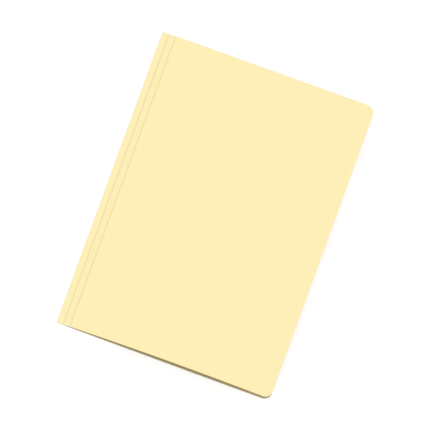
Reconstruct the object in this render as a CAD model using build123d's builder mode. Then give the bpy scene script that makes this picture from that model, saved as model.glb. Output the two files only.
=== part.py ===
"""Manila folder: one creased sheet of card, as its panels and the creases that they turn on.

Millimetres. X runs from the spine to the open edge, Y up the spine and Z away from the table.
The origin is on the table, under the middle of the closed folder.
"""

from build123d import *
import os

# Sheet of card
card_thickness = 0.3
folder_width = 225.0
folder_height = 318.0
corner_radius = 8.0

# Creases, from the outer face of the spine
first_score_from_spine = 6.75
second_score_from_spine = 13.75
fold_gap = 0.2  # between the two plies at the spine fold
groove_depth = 0.1  # of the line crushed into the outside of a score
crease_clearance = 0.03  # between a crease and the panels beside it

# Gap between the covers, where the front cover springs up from the back cover
second_score_gap = 1.7
crest_from_spine = 120.0
bottom_crest_gap = 8.8
bottom_open_gap = 6.3
top_crest_gap = 4.6
top_open_gap = 7.6
trim = 5.0  # by which the arch is shaped past the cover's edges before it is cut to its outline

# Places along X and Y
spine_x = -folder_width / 2
open_x = folder_width / 2
crest_x = spine_x + crest_from_spine
bottom_y = -folder_height / 2
top_y = folder_height / 2

# Spine fold: a round bead as thick as the two plies and the gap between them
fold_radius = card_thickness + fold_gap / 2
fold_x = spine_x + fold_radius
strip_start_x = fold_x + fold_radius + crease_clearance

# Scores: half-round beads of crushed card, with their axes on the outer face of the card
first_score_at = Vector(spine_x + first_score_from_spine, bottom_y, 2 * card_thickness + fold_gap)
second_score_at = Vector(spine_x + second_score_from_spine, bottom_y, 2 * card_thickness + second_score_gap)
outer_strip_along = second_score_at - first_score_at
panel_from_score = card_thickness + crease_clearance

# Change of each gap from an edge of the cover to the end of the trim
crest_twist = (bottom_crest_gap - top_crest_gap) * trim / folder_height
open_twist = (bottom_open_gap - top_open_gap) * trim / folder_height

# Planes at the bottom edge that look up the spine, with Y running into the card from its outer face
inner_strip_plane = Plane(origin=first_score_at, x_dir=Axis.X.direction, z_dir=Axis.Y.direction)
outer_strip_plane = Plane(origin=first_score_at, x_dir=outer_strip_along, z_dir=Axis.Y.direction)
second_score_plane = Plane(origin=second_score_at, x_dir=outer_strip_along, z_dir=Axis.Y.direction)

os.makedirs("parts", exist_ok=True)


def cover_outline(start_x):
    """Outline of a cover, square at the spine and with two rounded corners at the open edge."""
    with BuildLine() as outline:
        FilletPolyline(
            (start_x, bottom_y),
            (open_x, bottom_y),
            (open_x, top_y),
            (start_x, top_y),
            radius=corner_radius,
        )
        Line((start_x, top_y), (start_x, bottom_y))
    return outline.edges()


def strip_section(start, end):
    """Section of a flat strip of card between two places along its plane."""
    with BuildLine() as section:
        Polyline((start, 0), (end, 0), (end, card_thickness), (start, card_thickness), close=True)
    return section.edges()


def score_section():
    """Section of a score: a half-round bead of card with a shallow groove in its outer face."""
    with BuildLine() as section:
        ThreePointArc((-card_thickness, 0), (0, card_thickness), (card_thickness, 0))
        ThreePointArc((card_thickness, 0), (0, groove_depth), (-card_thickness, 0))
    return section.edges()


def arch_gap(at_x, crest_gap, open_gap):
    """Gap under the sprung cover: the parabola through its gaps at the score, the crest and the open edge."""
    from_score = at_x - second_score_at.X
    from_crest = at_x - crest_x
    from_open = at_x - open_x
    score_to_crest = crest_x - second_score_at.X
    crest_to_open = open_x - crest_x
    score_to_open = open_x - second_score_at.X
    return (
        second_score_gap * from_crest * from_open / (score_to_crest * score_to_open)
        - crest_gap * from_score * from_open / (score_to_crest * crest_to_open)
        + open_gap * from_score * from_crest / (score_to_open * crest_to_open)
    )


def arch_section(crest_gap, open_gap):
    """Section of the sprung cover, past its open edge by the trim: two arcs, one card thickness apart."""
    stations = (second_score_at.X, crest_x, open_x + trim)
    inner = [(x, card_thickness + arch_gap(x, crest_gap, open_gap)) for x in stations]
    outer = [(x, z + card_thickness) for x, z in inner]
    with BuildLine() as section:
        ThreePointArc(*inner)
        Line(inner[-1], outer[-1])
        ThreePointArc(*reversed(outer))
        Line(outer[0], inner[0])
    return section.edges()


# Back cover: lies flat on the table
with BuildPart() as back_cover:
    with BuildSketch():
        make_face(cover_outline(strip_start_x))
    extrude(amount=card_thickness)
back_cover.part.label = "back_cover"
export_step(back_cover.part, "parts/back_cover.step")

# Spine fold: the bead that the spine turns on
with BuildPart() as spine_fold:
    with BuildSketch(Plane.XZ.offset(-bottom_y)):
        with Locations((fold_x, fold_radius)):
            Circle(fold_radius)
    extrude(amount=-folder_height)
spine_fold.part.label = "spine_fold"
export_step(spine_fold.part, "parts/spine_fold.step")

# Inner strip: lies level over the back cover, from the fold to the first score
with BuildPart() as inner_strip:
    with BuildSketch(inner_strip_plane):
        make_face(strip_section(strip_start_x - first_score_at.X, -panel_from_score))
    extrude(amount=folder_height)
inner_strip.part.label = "inner_strip"
export_step(inner_strip.part, "parts/inner_strip.step")

# First score: the crushed line that squares the spine
with BuildPart() as first_score:
    with BuildSketch(inner_strip_plane):
        make_face(score_section())
    extrude(amount=folder_height)
first_score.part.label = "first_score"
export_step(first_score.part, "parts/first_score.step")

# Outer strip: rises from the first score to the second
with BuildPart() as outer_strip:
    with BuildSketch(outer_strip_plane):
        make_face(strip_section(panel_from_score, outer_strip_along.length - panel_from_score))
    extrude(amount=folder_height)
outer_strip.part.label = "outer_strip"
export_step(outer_strip.part, "parts/outer_strip.step")

# Second score: the crushed line that the front cover opens on
with BuildPart() as second_score:
    with BuildSketch(second_score_plane):
        make_face(score_section())
    extrude(amount=folder_height)
second_score.part.label = "second_score"
export_step(second_score.part, "parts/second_score.step")

# Front cover: springs up in a low arch that is highest along the bottom edge, cut to the cover's outline
with BuildPart() as front_cover:
    with BuildSketch(Plane.XZ.offset(trim - bottom_y)):
        make_face(arch_section(bottom_crest_gap + crest_twist, bottom_open_gap + open_twist))
    with BuildSketch(Plane.XZ.offset(-trim - top_y)):
        make_face(arch_section(top_crest_gap - crest_twist, top_open_gap - open_twist))
    loft(ruled=True)
    with BuildSketch():
        make_face(cover_outline(second_score_at.X + panel_from_score))
    extrude(amount=folder_width, mode=Mode.INTERSECT)
front_cover.part.label = "front_cover"
export_step(front_cover.part, "parts/front_cover.step")
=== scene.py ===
"""Looks of the manila folder: one creased sheet of uncoated card, closed and lying on a white table.

Metres, in the frame of the solids: X runs from the spine to the open edge, Y up the spine and Z away from
the table.
"""

import math
from collections import namedtuple

import bpy
import numpy as np
from mathutils import Matrix, Vector


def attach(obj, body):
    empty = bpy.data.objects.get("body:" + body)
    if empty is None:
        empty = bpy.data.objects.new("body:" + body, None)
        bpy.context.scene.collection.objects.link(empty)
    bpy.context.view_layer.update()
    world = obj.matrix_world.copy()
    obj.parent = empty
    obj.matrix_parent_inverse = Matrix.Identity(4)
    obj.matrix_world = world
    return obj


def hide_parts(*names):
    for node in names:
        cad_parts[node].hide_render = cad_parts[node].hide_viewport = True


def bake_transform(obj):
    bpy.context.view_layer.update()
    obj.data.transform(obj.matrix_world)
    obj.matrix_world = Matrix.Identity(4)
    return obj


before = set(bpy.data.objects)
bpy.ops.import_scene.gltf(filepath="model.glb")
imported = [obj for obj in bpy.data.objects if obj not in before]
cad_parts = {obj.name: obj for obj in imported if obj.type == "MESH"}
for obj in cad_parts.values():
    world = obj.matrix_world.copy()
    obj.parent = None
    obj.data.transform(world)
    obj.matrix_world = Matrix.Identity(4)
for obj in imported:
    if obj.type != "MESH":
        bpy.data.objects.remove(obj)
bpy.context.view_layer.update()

mm = 0.001

# Sheet of card
card = 0.3 * mm
folder_width = 225 * mm
folder_height = 318 * mm
corner_radius = 8 * mm
cut_ease = 0.05 * mm  # by which the die rounds the cut edges

# Creases: a round fold at the spine and two lines pressed into the outside
fold_gap = 0.2 * mm
first_score_from_spine = 6.75 * mm
second_score_from_spine = 13.75 * mm
score_reach = 0.9 * mm  # from the middle of a score to the flat card beside it
score_side = 0.6 * mm  # of its slope, from the flat card to its floor
score_depth = 0.16 * mm
score_ridge = 0.10 * mm  # raised on the inside, under the pressed line

# Gap between the covers, where the front cover springs up
second_score_gap = 1.7 * mm
crest_from_spine = 120 * mm
bottom_crest_gap = 8.8 * mm
bottom_open_gap = 6.3 * mm
top_crest_gap = 4.6 * mm
top_open_gap = 7.6 * mm

# Ripples of the loose front cover: slanting waves, each with a length across the cover and a length up it
Ripple = namedtuple("Ripple", "height across up start")
long_ripple = Ripple(height=0.11 * mm, across=168 * mm, up=230 * mm, start=0.6)
short_ripple = Ripple(height=0.07 * mm, across=-310 * mm, up=121 * mm, start=2.1)
ripple_fade = 90 * mm  # from the second score to where they have their full height

# Places
spine_x = -folder_width / 2
open_x = folder_width / 2
bottom_y = -folder_height / 2
top_y = folder_height / 2
fold_radius = card + fold_gap / 2
fold_x = spine_x + fold_radius
first_x = spine_x + first_score_from_spine
second_x = spine_x + second_score_from_spine
crest_x = spine_x + crest_from_spine
first_z = 2 * card + fold_gap
second_z = 2 * card + second_score_gap
half_fold = fold_radius * math.pi / 2  # round the outside of the fold, from its middle to the flat card

# Ends of the panels beside the scores
inner_strip_end = first_x - score_reach
outer_strip_start = first_x + score_reach
outer_strip_end = second_x - score_reach
front_cover_start = second_x + score_reach

# Mesh steps
corner_steps = 16
straight_steps = 64
cover_steps = 72
strip_steps = 6
score_steps = 36
fold_steps = 28
sharp_angle = math.radians(25)  # past which an edge of the card is shaded as a corner

# Grids of a piece of card, with rows up the sheet and columns across it: its two faces, the way along the
# blank sheet from the middle of the spine fold, the share of a score's full press, and 1 on a cut edge
CardGrids = namedtuple("CardGrids", "upper lower along pressed cut")


def sheet_rows():
    """Heights up the sheet, and the open edge's place at each of them.

    The edge is a quarter circle at the bottom corner, a straight run and a quarter circle at the top.
    """
    angle = np.linspace(0, math.pi / 2, corner_steps)
    rise = corner_radius * (1 - np.cos(angle))
    draw_in = corner_radius * (1 - np.sin(angle))
    straight = np.linspace(bottom_y + corner_radius, top_y - corner_radius, straight_steps)[1:-1]
    y = np.concatenate([bottom_y + rise, straight, top_y - rise[::-1]])
    x = open_x - np.concatenate([draw_in, np.zeros_like(straight), draw_in[::-1]])
    return y, x


row_y, row_open_x = sheet_rows()


def eased(share):
    """Smooth step: three times the share's square less twice its cube, held between 0 and 1."""
    share = np.clip(share, 0, 1)
    return share * share * (3 - 2 * share)


def arch_gap(x, y):
    """Gap under the sprung cover: the parabola through its gaps at the score, the crest and the open edge.

    The gaps at the crest and at the open edge run straight from the bottom of the cover to its top.
    """
    up = (y - bottom_y) / folder_height
    crest_gap = bottom_crest_gap + (top_crest_gap - bottom_crest_gap) * up
    open_gap = bottom_open_gap + (top_open_gap - bottom_open_gap) * up
    from_score = x - second_x
    from_crest = x - crest_x
    from_open = x - open_x
    score_to_crest = crest_x - second_x
    crest_to_open = open_x - crest_x
    score_to_open = open_x - second_x
    return (
        second_score_gap * from_crest * from_open / (score_to_crest * score_to_open)
        - crest_gap * from_score * from_open / (score_to_crest * crest_to_open)
        + open_gap * from_score * from_crest / (score_to_open * crest_to_open)
    )


def ripple_wave(ripple, x, y):
    """One slanting wave: its height times the sine of the turns made across the cover and up it."""
    turns = x / ripple.across + y / ripple.up
    return ripple.height * np.sin(2 * math.pi * turns + ripple.start)


def card_ripple(x, y):
    """Slight waves of a loose sheet: two slanting sines that fade in from the second score."""
    fade = eased((x - front_cover_start) / ripple_fade)
    return fade * (ripple_wave(long_ripple, x, y) + ripple_wave(short_ripple, x, y))


def score_press(x):
    """Share of the full press at each place: a smooth step from 0 at a score's reach to 1 on its floor."""
    off_score = np.minimum(np.abs(x - first_x), np.abs(x - second_x))
    return eased((score_reach - off_score) / score_side)


def front_ply(x, y):
    """Outside height of the upper ply: level to the first score, a slope to the second, then the arch."""
    rise = np.clip((x - first_x) / (second_x - first_x), 0, 1)
    spine_part = first_z + (second_z - first_z) * rise
    arch = 2 * card + arch_gap(x, y) + card_ripple(x, y)
    return np.where(x < second_x, spine_part, arch)


def cover_columns(start_x):
    """Places across each row of a cover, from its crease to the open edge. The last step is the ease."""
    share = np.linspace(0, 1, cover_steps)
    x = start_x + (row_open_x - cut_ease - start_x)[:, None] * share
    return np.concatenate([x, row_open_x[:, None]], axis=1)


def cover_grids(x, outside, along):
    """Grids of a cover from its upper heights: a card thick, and drawn in by the ease at the open edge."""
    y = np.broadcast_to(row_y[:, None], x.shape)
    cut = np.zeros_like(x)
    cut[:, -1] = 1
    ease = cut_ease * cut
    upper = np.stack([x, y, outside - ease], axis=-1)
    lower = np.stack([x, y, outside - card + ease], axis=-1)
    return CardGrids(upper, lower, along, np.zeros_like(x), cut)


def back_cover_grids():
    """Grids of the back cover: flat on the table, from the spine fold to the open edge."""
    x = cover_columns(fold_x)
    return cover_grids(x, np.full_like(x, card), fold_x - x - half_fold)


def front_cover_grids():
    """Grids of the front cover: the sprung arch, from the second score to the open edge."""
    x = cover_columns(front_cover_start)
    return cover_grids(x, front_ply(x, row_y[:, None]), half_fold + x - fold_x)


def band_grids(x_from, x_to, steps):
    """Grids of a straight band of the upper ply, pressed down outside and raised inside on a score."""
    x, y = np.meshgrid(np.linspace(x_from, x_to, steps), row_y)
    press = score_press(x)
    outside = front_ply(x, y)
    upper = np.stack([x, y, outside - score_depth * press], axis=-1)
    lower = np.stack([x, y, outside - card - score_ridge * press], axis=-1)
    return CardGrids(upper, lower, half_fold + x - fold_x, press, np.zeros_like(x))


def fold_grids():
    """Grids of the spine fold: half circles from the back ply, round the spine, to the upper ply."""
    angle, y = np.meshgrid(np.linspace(-0.5 * math.pi, -1.5 * math.pi, fold_steps), row_y)
    across = np.cos(angle)
    up = np.sin(angle)
    inside = fold_gap / 2
    outer = np.stack([fold_x + fold_radius * across, y, fold_radius + fold_radius * up], axis=-1)
    inner = np.stack([fold_x + inside * across, y, fold_radius + inside * up], axis=-1)
    along = -fold_radius * (angle + math.pi)
    return CardGrids(outer, inner, along, np.zeros_like(y), np.zeros_like(y))


def unfolded(along):
    """Place of each upper point on the blank sheet: along it from the middle of the fold, and up it."""
    y = np.broadcast_to(row_y[:, None], along.shape)
    return np.stack([along, y, np.zeros_like(along)], axis=-1)


def ringed(upper, lower):
    """Rings round a piece of card: each row's upper values, and then its lower values backwards."""
    return np.concatenate([upper, lower[:, ::-1]], axis=1)


def put_on_points(mesh, label, kind, field, rings):
    """Values that a piece carries on its points, for its finish to read."""
    mesh.attributes.new(label, kind, "POINT").data.foreach_set(field, rings.astype(np.float32).ravel())


def card_piece(name, node, grids):
    """Closed piece of card between its upper and lower grids.

    Each ring of points is joined to the next. The two end rings are drawn in by the ease, and closed by
    quads between the upper points and those under them.
    """
    rows, columns = grids.upper.shape[:2]
    upper = grids.upper.copy()
    lower = grids.lower.copy()
    cut = grids.cut.copy()
    ends = [0, -1]
    draw_in = (lower - upper)[ends] * (cut_ease / card)
    upper[ends] += draw_in
    lower[ends] -= draw_in
    cut[ends] = 1

    number = np.arange(rows * 2 * columns).reshape(rows, 2 * columns)
    onward = np.roll(number, -1, axis=1)
    over = number[:, :columns]
    under = number[:, : columns - 1 : -1]
    sides = np.stack([number[:-1], onward[:-1], onward[1:], number[1:]], axis=-1).reshape(-1, 4)
    bottom_end = np.stack([over[0, :-1], under[0, :-1], under[0, 1:], over[0, 1:]], axis=-1)
    top_end = np.stack([over[-1, 1:], under[-1, 1:], under[-1, :-1], over[-1, :-1]], axis=-1)
    faces = np.concatenate([sides, bottom_end, top_end])

    mesh = bpy.data.meshes.new(name)
    mesh.from_pydata(ringed(upper, lower).reshape(-1, 3).tolist(), [], faces.tolist())
    mesh.polygons.foreach_set("use_smooth", np.ones(len(faces), bool))
    mesh.set_sharp_from_angle(angle=sharp_angle)
    blank = unfolded(grids.along)
    put_on_points(mesh, "pressed", "FLOAT", "value", ringed(grids.pressed, grids.pressed))
    put_on_points(mesh, "cut", "FLOAT", "value", ringed(cut, cut))
    put_on_points(mesh, "blank", "FLOAT_VECTOR", "vector", ringed(blank, blank - (0, 0, card)))
    mesh.update()

    piece = bpy.data.objects.new(name, mesh)
    bpy.context.scene.collection.objects.link(piece)
    mesh.materials.append(manila_card)
    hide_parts(node)
    return piece


# Colours of the card
buff = (0.945, 0.829, 0.463, 1)
deep_buff = (0.880, 0.720, 0.345, 1)
pale_fibre = (0.985, 0.920, 0.640, 1)
brown_fibre = (0.560, 0.380, 0.160, 1)
# Colour of the score lines: partly the card's real burnish, partly painted shade standing in for the shade
# in the pressed grooves
burnish_and_painted_crease_shade = (0.633, 0.534, 0.245, 1)
cut_pulp = (0.950, 0.850, 0.520, 1)

# Share by which each thing in the card takes its colour away from plain buff
cloud_share = 0.06
felt_share = 0.36
pale_share = 0.75
brown_share = 0.60
chip_share = 0.80
# Share of the score tint, which is partly real burnish and partly painted groove shade
burnish_and_crease_shade_share = 0.42

# Pulp: wide clouds, felted lumps, and the fine tooth of the card's faces
cloud_size = 18 * mm
cloud_run = (0.35, 0.65)  # of the noise, from no cloud to full cloud
felt_size = 0.7 * mm
felt_run = (0.3, 0.7)
felt_shift = (0.3, 0.1, 0.7)
tooth_size = 0.3 * mm
tooth_shift = (0.9, 0.2, 0.4)
tooth_height = 0.04 * mm
tooth_strength = 0.5
strand_rise = 0.5  # of the tooth's height, by which a fibre stands up

# Gloss: matt, roughest on the felted lumps and smoother where a score is burnished
plain_roughness = 0.78
felted_roughness = 0.90
score_polish = 0.25
card_specular = 0.3

# Fibres strewn over the card: their spacing and size, the share of the strewn points that have one, and a
# shift that keeps one kind from lying on another
Fibres = namedtuple("Fibres", "spacing length width share shift")
long_pale_fibres = Fibres(1.5 * mm, 2.2 * mm, 0.06 * mm, 0.8, (0.11, 0.53, 0))
short_pale_fibres = Fibres(0.8 * mm, 1.1 * mm, 0.05 * mm, 0.7, (0.47, 0.29, 0))
brown_fibres = Fibres(1.9 * mm, 1.8 * mm, 0.05 * mm, 0.5, (0.71, 0.17, 0))
brown_chips = Fibres(3.1 * mm, 0.5 * mm, 0.16 * mm, 0.14, (0.23, 0.61, 0))

# Form of a fibre, as shares of its width and length
fibre_core = 0.25  # of the width, from its middle line to where it begins to fade
fibre_rim = 0.75
fibre_taper = 0.3  # of the length, from its middle to where its ends begin to fade
fibre_end = 0.5
fibre_bend = 0.7  # of the most bent one, over its length

# Sockets of a Mix node for colours, which share their names with those for numbers
mix_share = 0
mix_under = 6
mix_over = 7
mix_result = 2


class CardShader:
    """Node tree of a material, with short calls for the few nodes that a card finish needs."""

    def __init__(self, name):
        self.material = bpy.data.materials.new(name)
        self.material.use_nodes = True
        self.tree = self.material.node_tree
        self.surface = self.tree.nodes["Principled BSDF"]
        self.places = self.node("ShaderNodeAttribute", attribute_name="blank").outputs["Vector"]

    def node(self, kind, **settings):
        """A new node with the settings given."""
        made = self.tree.nodes.new(kind)
        for setting, value in settings.items():
            setattr(made, setting, value)
        return made

    def put(self, socket, value):
        """Another node's output, or a plain value, into a socket."""
        if isinstance(value, bpy.types.NodeSocket):
            self.tree.links.new(value, socket)
        else:
            socket.default_value = value

    def reckon(self, operation, first, second=0.0):
        """A sum of one value or two."""
        made = self.node("ShaderNodeMath", operation=operation)
        self.put(made.inputs[0], first)
        self.put(made.inputs[1], second)
        return made.outputs["Value"]

    def spread(self, value, low, high, to_low=0.0, to_high=1.0):
        """The value's run from low to high, carried over to another run and held at its ends."""
        made = self.node("ShaderNodeMapRange")
        self.put(made.inputs["Value"], value)
        self.put(made.inputs["From Min"], low)
        self.put(made.inputs["From Max"], high)
        self.put(made.inputs["To Min"], to_low)
        self.put(made.inputs["To Max"], to_high)
        return made.outputs["Result"]

    def tint(self, share, under, over):
        """The colour under, taken towards the colour over by a share."""
        made = self.node("ShaderNodeMix", data_type="RGBA")
        self.put(made.inputs[mix_share], share)
        self.put(made.inputs[mix_under], under)
        self.put(made.inputs[mix_over], over)
        return made.outputs[mix_result]

    def carried(self, label):
        """A share that the piece carries on its points."""
        return self.node("ShaderNodeAttribute", attribute_name=label).outputs["Fac"]

    def moved(self, shift):
        """Places on the blank sheet, moved so that two patterns don't coincide."""
        made = self.node("ShaderNodeVectorMath", operation="ADD")
        self.put(made.inputs[0], self.places)
        self.put(made.inputs[1], shift)
        return made.outputs["Vector"]

    def noise(self, size, detail, roughness, distortion=0.0, shift=(0, 0, 0)):
        """Noise with lumps of about the size given."""
        made = self.node("ShaderNodeTexNoise")
        self.put(made.inputs["Vector"], self.moved(shift))
        self.put(made.inputs["Scale"], 1 / size)
        self.put(made.inputs["Detail"], detail)
        self.put(made.inputs["Roughness"], roughness)
        self.put(made.inputs["Distortion"], distortion)
        return made.outputs["Fac"]

    def scatter(self, spacing, shift):
        """Points strewn at a spacing: the way from the nearest one, and the three chances that it has."""
        places = self.moved(shift)
        cells = self.node("ShaderNodeTexVoronoi", voronoi_dimensions="2D", feature="F1")
        self.put(cells.inputs["Vector"], places)
        self.put(cells.inputs["Scale"], 1 / spacing)
        way = self.node("ShaderNodeVectorMath", operation="SUBTRACT")
        self.put(way.inputs[0], places)
        self.put(way.inputs[1], cells.outputs["Position"])
        chances = self.node("ShaderNodeSeparateColor")
        self.put(chances.inputs["Color"], cells.outputs["Color"])
        return way.outputs["Vector"], [chances.outputs[label] for label in ("Red", "Green", "Blue")]

    def strew(self, fibres):
        """Short bent fibres strewn over the card, from faint to strong.

        Each lies at its own angle, off a straight line by its bend times the square of the way along it.
        """
        length = fibres.length
        width = fibres.width
        way, (turn, bend, kept) = self.scatter(fibres.spacing, fibres.shift)
        turned = self.node("ShaderNodeVectorRotate", rotation_type="Z_AXIS")
        self.put(turned.inputs["Vector"], way)
        self.put(turned.inputs["Angle"], self.reckon("MULTIPLY", turn, 2 * math.pi))
        parts = self.node("ShaderNodeSeparateXYZ")
        self.put(parts.inputs["Vector"], turned.outputs["Vector"])
        along = parts.outputs["X"]
        across = parts.outputs["Y"]
        curve = self.spread(bend, 0.0, 1.0, -fibre_bend / length, fibre_bend / length)
        bow = self.reckon("MULTIPLY", curve, self.reckon("MULTIPLY", along, along))
        off_fibre = self.reckon("ABSOLUTE", self.reckon("SUBTRACT", across, bow))
        strand = self.spread(off_fibre, fibre_core * width, fibre_rim * width, 1.0, 0.0)
        off_middle = self.reckon("ABSOLUTE", along)
        ends = self.spread(off_middle, fibre_taper * length, fibre_end * length, 1.0, 0.0)
        strong = self.spread(kept, 1 - fibres.share, 1.0)
        return self.reckon("MULTIPLY", self.reckon("MULTIPLY", strand, ends), strong)


def make_manila_card():
    """Uncoated buff card.

    It is cloudy felted pulp with pale and brown fibres, a few specks and a fine tooth. Its scores are
    tinted darker, partly by real burnish and partly by painted shade of their grooves.
    """
    shader = CardShader("manila_card")
    drifts = shader.noise(cloud_size, detail=4.0, roughness=0.6)
    cloud = shader.spread(drifts, *cloud_run)
    lumps = shader.noise(felt_size, detail=3.0, roughness=0.65, distortion=0.4, shift=felt_shift)
    felt = shader.spread(lumps, *felt_run)
    pale = shader.reckon("MAXIMUM", shader.strew(long_pale_fibres), shader.strew(short_pale_fibres))
    brown = shader.strew(brown_fibres)
    chip = shader.strew(brown_chips)
    pressed = shader.carried("pressed")

    clouded = shader.reckon("MULTIPLY", cloud, cloud_share)
    felted = shader.reckon("MULTIPLY", felt, felt_share)
    colour = shader.tint(shader.reckon("ADD", clouded, felted), buff, deep_buff)
    for share, strength, over in (
        (pale, pale_share, pale_fibre),
        (brown, brown_share, brown_fibre),
        (chip, chip_share, brown_fibre),
        # painted shade of the score grooves, with some real burnish
        (pressed, burnish_and_crease_shade_share, burnish_and_painted_crease_shade),
    ):
        colour = shader.tint(shader.reckon("MULTIPLY", share, strength), colour, over)
    colour = shader.tint(shader.carried("cut"), colour, cut_pulp)
    shader.put(shader.surface.inputs["Base Color"], colour)

    matt = shader.spread(felt, 0.0, 1.0, plain_roughness, felted_roughness)
    polish = shader.reckon("MULTIPLY", pressed, score_polish)
    shader.put(shader.surface.inputs["Roughness"], shader.reckon("SUBTRACT", matt, polish))
    shader.put(shader.surface.inputs["Specular IOR Level"], card_specular)

    tooth = shader.noise(tooth_size, detail=3.0, roughness=0.6, distortion=0.3, shift=tooth_shift)
    strands = shader.reckon("MULTIPLY", shader.reckon("MAXIMUM", pale, brown), strand_rise)
    bump = shader.node("ShaderNodeBump")
    shader.put(bump.inputs["Strength"], tooth_strength)
    shader.put(bump.inputs["Distance"], tooth_height)
    shader.put(bump.inputs["Height"], shader.reckon("ADD", tooth, strands))
    shader.put(shader.surface.inputs["Normal"], bump.outputs["Normal"])
    return shader.material


manila_card = make_manila_card()

# Back cover: flat on the table, from the spine fold to the open edge
back_cover = card_piece("back_cover_card", "back_cover", back_cover_grids())
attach(back_cover, "back_cover")

# Spine fold: turns from the back cover to the inner strip
spine_fold = card_piece("spine_fold_band", "spine_fold", fold_grids())
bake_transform(spine_fold)

# Inner strip: level, from the spine fold to the first score
inner_strip = card_piece(
    "inner_strip_card", "inner_strip", band_grids(fold_x, inner_strip_end, strip_steps)
)
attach(inner_strip, "inner_strip")

# First score: the pressed line between the two strips
first_score = card_piece(
    "first_score_line", "first_score", band_grids(inner_strip_end, outer_strip_start, score_steps)
)
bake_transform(first_score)

# Outer strip: rises from the first score to the second
outer_strip = card_piece(
    "outer_strip_card", "outer_strip", band_grids(outer_strip_start, outer_strip_end, strip_steps)
)
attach(outer_strip, "outer_strip")

# Second score: the pressed line that the front cover opens on
second_score = card_piece(
    "second_score_line", "second_score", band_grids(outer_strip_end, front_cover_start, score_steps)
)
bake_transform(second_score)

# Front cover: the sprung arch, from the second score to the open edge
front_cover = card_piece("front_cover_card", "front_cover", front_cover_grids())
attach(front_cover, "front_cover")

# Table, lamp and room: white to the camera, with the light that each gives to the folder
seen_white = 1.0
table_reach = 5.0
table_drop = 0.02 * mm  # below the folder, so that the two don't share a plane
table_bounce = 0.60
lamp_light = 0.62 * math.pi  # at which a white face square to it shows 0.62 of full white
lamp_spread = math.radians(7)
lamp_tilt = math.radians(-3)
room_light = 0.44

# Camera: its place round the folder, its picture and its lens
camera_elevation = math.radians(75.2)
camera_azimuth = math.radians(-2.7)
camera_roll = math.radians(22.78)
picture_width = 427.5 * mm
picture_pixels = 430
aim_height = 3.9 * mm
aim_left = 1.24  # in pixels, from the middle of the folder
aim_down = 0.07
lens_length = 1600  # in millimetres, as the sensor's width is
sensor_width = 36
near_clip = 0.1
far_clip = 3  # times the camera's distance


def where_seen(tree, seen, unseen):
    """One strength for what the camera sees, straight, mirrored or through glass, and one for the rest."""
    rays = tree.nodes.new("ShaderNodeLightPath")
    straight_or_mirrored = tree.nodes.new("ShaderNodeMath")
    straight_or_mirrored.operation = "MAXIMUM"
    any_seen = tree.nodes.new("ShaderNodeMath")
    any_seen.operation = "MAXIMUM"
    strength = tree.nodes.new("ShaderNodeMapRange")
    strength.inputs["To Min"].default_value = unseen
    strength.inputs["To Max"].default_value = seen
    tree.links.new(rays.outputs["Is Camera Ray"], straight_or_mirrored.inputs[0])
    tree.links.new(rays.outputs["Is Glossy Ray"], straight_or_mirrored.inputs[1])
    tree.links.new(straight_or_mirrored.outputs["Value"], any_seen.inputs[0])
    tree.links.new(rays.outputs["Is Transmission Ray"], any_seen.inputs[1])
    tree.links.new(any_seen.outputs["Value"], strength.inputs["Value"])
    return strength.outputs["Result"]


def make_table():
    """Wide matt table under the folder, white to the camera and grey to the light that it throws back."""
    quarters = ((-1, -1), (1, -1), (1, 1), (-1, 1))
    corners = [(table_reach * across, table_reach * up, -table_drop) for across, up in quarters]
    mesh = bpy.data.meshes.new("pale_table")
    mesh.from_pydata(corners, [], [(0, 1, 2, 3)])
    table = bpy.data.objects.new("pale_table", mesh)
    bpy.context.scene.collection.objects.link(table)
    white = bpy.data.materials.new("white_table")
    white.use_nodes = True
    tree = white.node_tree
    surface = tree.nodes["Principled BSDF"]
    tree.links.new(where_seen(tree, seen_white, table_bounce), surface.inputs["Base Color"])
    surface.inputs["Roughness"].default_value = 1.0
    surface.inputs["Specular IOR Level"].default_value = 0.0
    mesh.materials.append(white)


def make_light():
    """Soft lamp almost straight overhead, and weak even light from a room that is white to the camera."""
    lamp = bpy.data.lights.new("overhead_lamp", "SUN")
    lamp.energy = lamp_light
    lamp.angle = lamp_spread
    overhead = bpy.data.objects.new("overhead_lamp", lamp)
    bpy.context.scene.collection.objects.link(overhead)
    overhead.rotation_euler = (lamp_tilt, 0, 0)

    room = bpy.data.worlds.new("white_room")
    bpy.context.scene.world = room
    room.use_nodes = True
    tree = room.node_tree
    background = tree.nodes["Background"]
    background.inputs["Color"].default_value = (1, 1, 1, 1)
    tree.links.new(where_seen(tree, seen_white, room_light), background.inputs["Strength"])


def make_camera():
    """Long lens high over the bottom edge, rolled to turn the folder clockwise in the picture."""
    level_right = Vector((math.cos(camera_azimuth), math.sin(camera_azimuth), 0))
    level_back = Vector((math.sin(camera_azimuth), -math.cos(camera_azimuth), 0))
    back = level_back * math.cos(camera_elevation) + Vector((0, 0, math.sin(camera_elevation)))
    level_up = back.cross(level_right)
    right = level_right * math.cos(camera_roll) + level_up * math.sin(camera_roll)
    up = level_up * math.cos(camera_roll) - level_right * math.sin(camera_roll)
    pixel = picture_width / picture_pixels
    aim = Vector((0, 0, aim_height)) - right * (aim_left * pixel) - up * (aim_down * pixel)

    lens = bpy.data.cameras.new("long_lens")
    lens.lens = lens_length
    lens.sensor_width = sensor_width
    distance = picture_width * lens_length / sensor_width
    lens.clip_start = near_clip
    lens.clip_end = far_clip * distance
    camera = bpy.data.objects.new("long_lens", lens)
    bpy.context.scene.collection.objects.link(camera)
    turn = Matrix((right, up, back)).transposed().to_4x4()
    camera.matrix_world = Matrix.Translation(aim + back * distance) @ turn
    bpy.context.scene.camera = camera


make_table()
make_light()
make_camera()
bpy.context.scene.view_settings.view_transform = "Standard"
